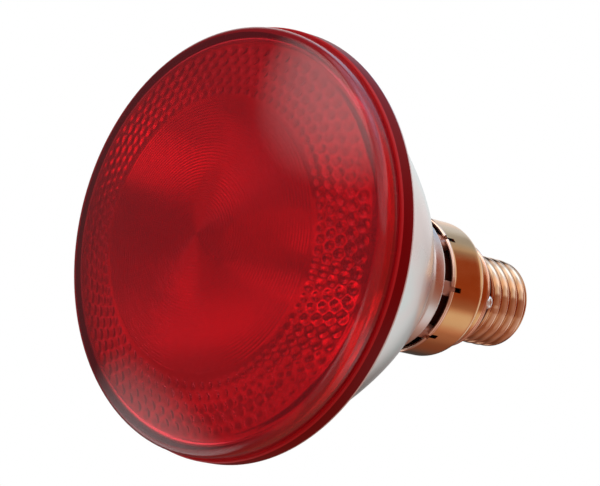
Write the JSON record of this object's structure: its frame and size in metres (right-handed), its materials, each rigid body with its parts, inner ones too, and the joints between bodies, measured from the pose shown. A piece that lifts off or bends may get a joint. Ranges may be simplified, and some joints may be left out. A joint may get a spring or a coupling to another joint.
{
  "type": "infrared heat lamp bulb",
  "caption": "Pressed-glass heat lamp with a domed deep red lens, a mirrored bowl, a slotted brass skirt and a threaded screw base with a centre contact.",
  "frame": {"origin": "apex of the lens's dome, the lamp's lowest point, on its axis", "axes": "+Z along the lamp's axis, from the lens to the centre contact; -Y towards the side solder; the ferrules lie along X"},
  "size_m": [0.1215, 0.1214, 0.1361],
  "materials": {
    "red_glass": "clear, deep red, smooth outside and pressed with rings inside",
    "mirrored_glass": "mirrored inside, silvery and slightly wavy outside",
    "clear_glass": "clear",
    "sealing_metal": "oxidised satin",
    "nickel": "drawn wire",
    "tungsten": "dull",
    "skirt_brass": "drawn and polished, copper-toned",
    "shell_brass": "rolled and polished, copper-toned",
    "black_glass": "opaque, glossy",
    "solder": "smooth, dull",
    "sleeve": "woven glass fibre"
  },
  "bodies": {
    "root": {"lens": "red_glass", "reflector": "mirrored_glass", "exhaust_tip": "clear_glass", "ferrule_left": "sealing_metal", "ferrule_right": "sealing_metal", "post_left": "nickel", "post_right": "nickel", "filament": "tungsten", "support_wire": "nickel", "glass_bridge": "clear_glass", "base_skirt": "skirt_brass", "screw_shell": "shell_brass", "insulator": "black_glass", "centre_contact": "shell_brass", "contact_solder": "solder", "side_solder": "solder", "centre_lead": "nickel", "side_lead": "nickel", "lead_sleeve": "sleeve"}
  },
  "joints": []
}
